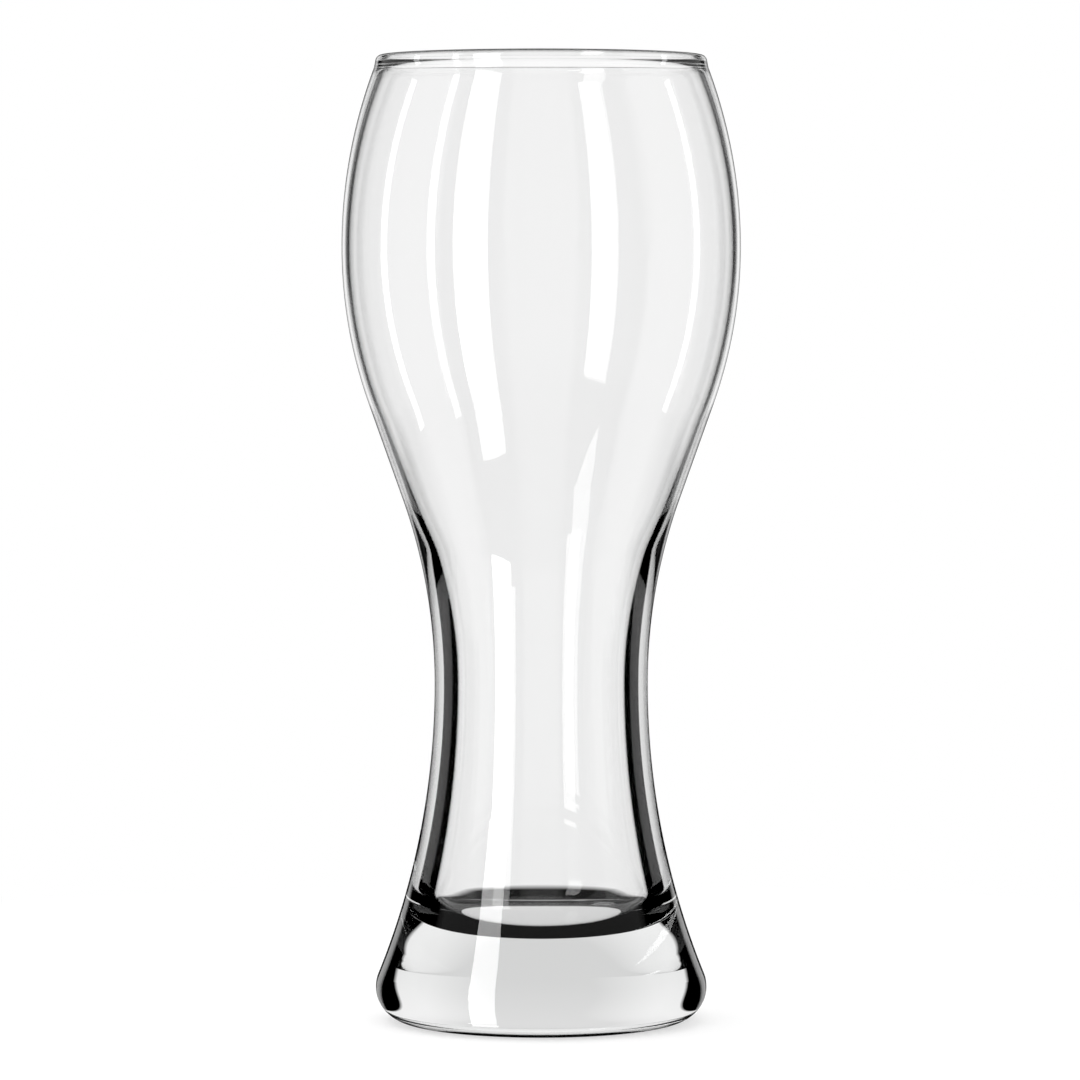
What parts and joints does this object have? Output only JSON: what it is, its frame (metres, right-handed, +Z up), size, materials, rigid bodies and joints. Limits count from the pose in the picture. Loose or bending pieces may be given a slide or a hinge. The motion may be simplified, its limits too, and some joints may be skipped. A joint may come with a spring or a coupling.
{
  "type": "beer glass",
  "caption": "Tall clear wheat-beer glass with a rounded lip, thin bulging bowl, narrow thick-walled waist and a heavy solid flared foot.",
  "frame": {"origin": "on the table, under the middle of the foot", "axes": "+Z up along the axis of the glass, from the foot to the lip; X and Y level, with no front or back"},
  "size_m": [0.0948, 0.0948, 0.23],
  "materials": {
    "clear_glass": "clear, fire-polished"
  },
  "bodies": {
    "root": {"foot": "clear_glass", "lower_wall": "clear_glass", "waist": "clear_glass", "shoulder": "clear_glass", "belly": "clear_glass", "bowl": "clear_glass", "crown": "clear_glass", "lip": "clear_glass"}
  },
  "joints": []
}
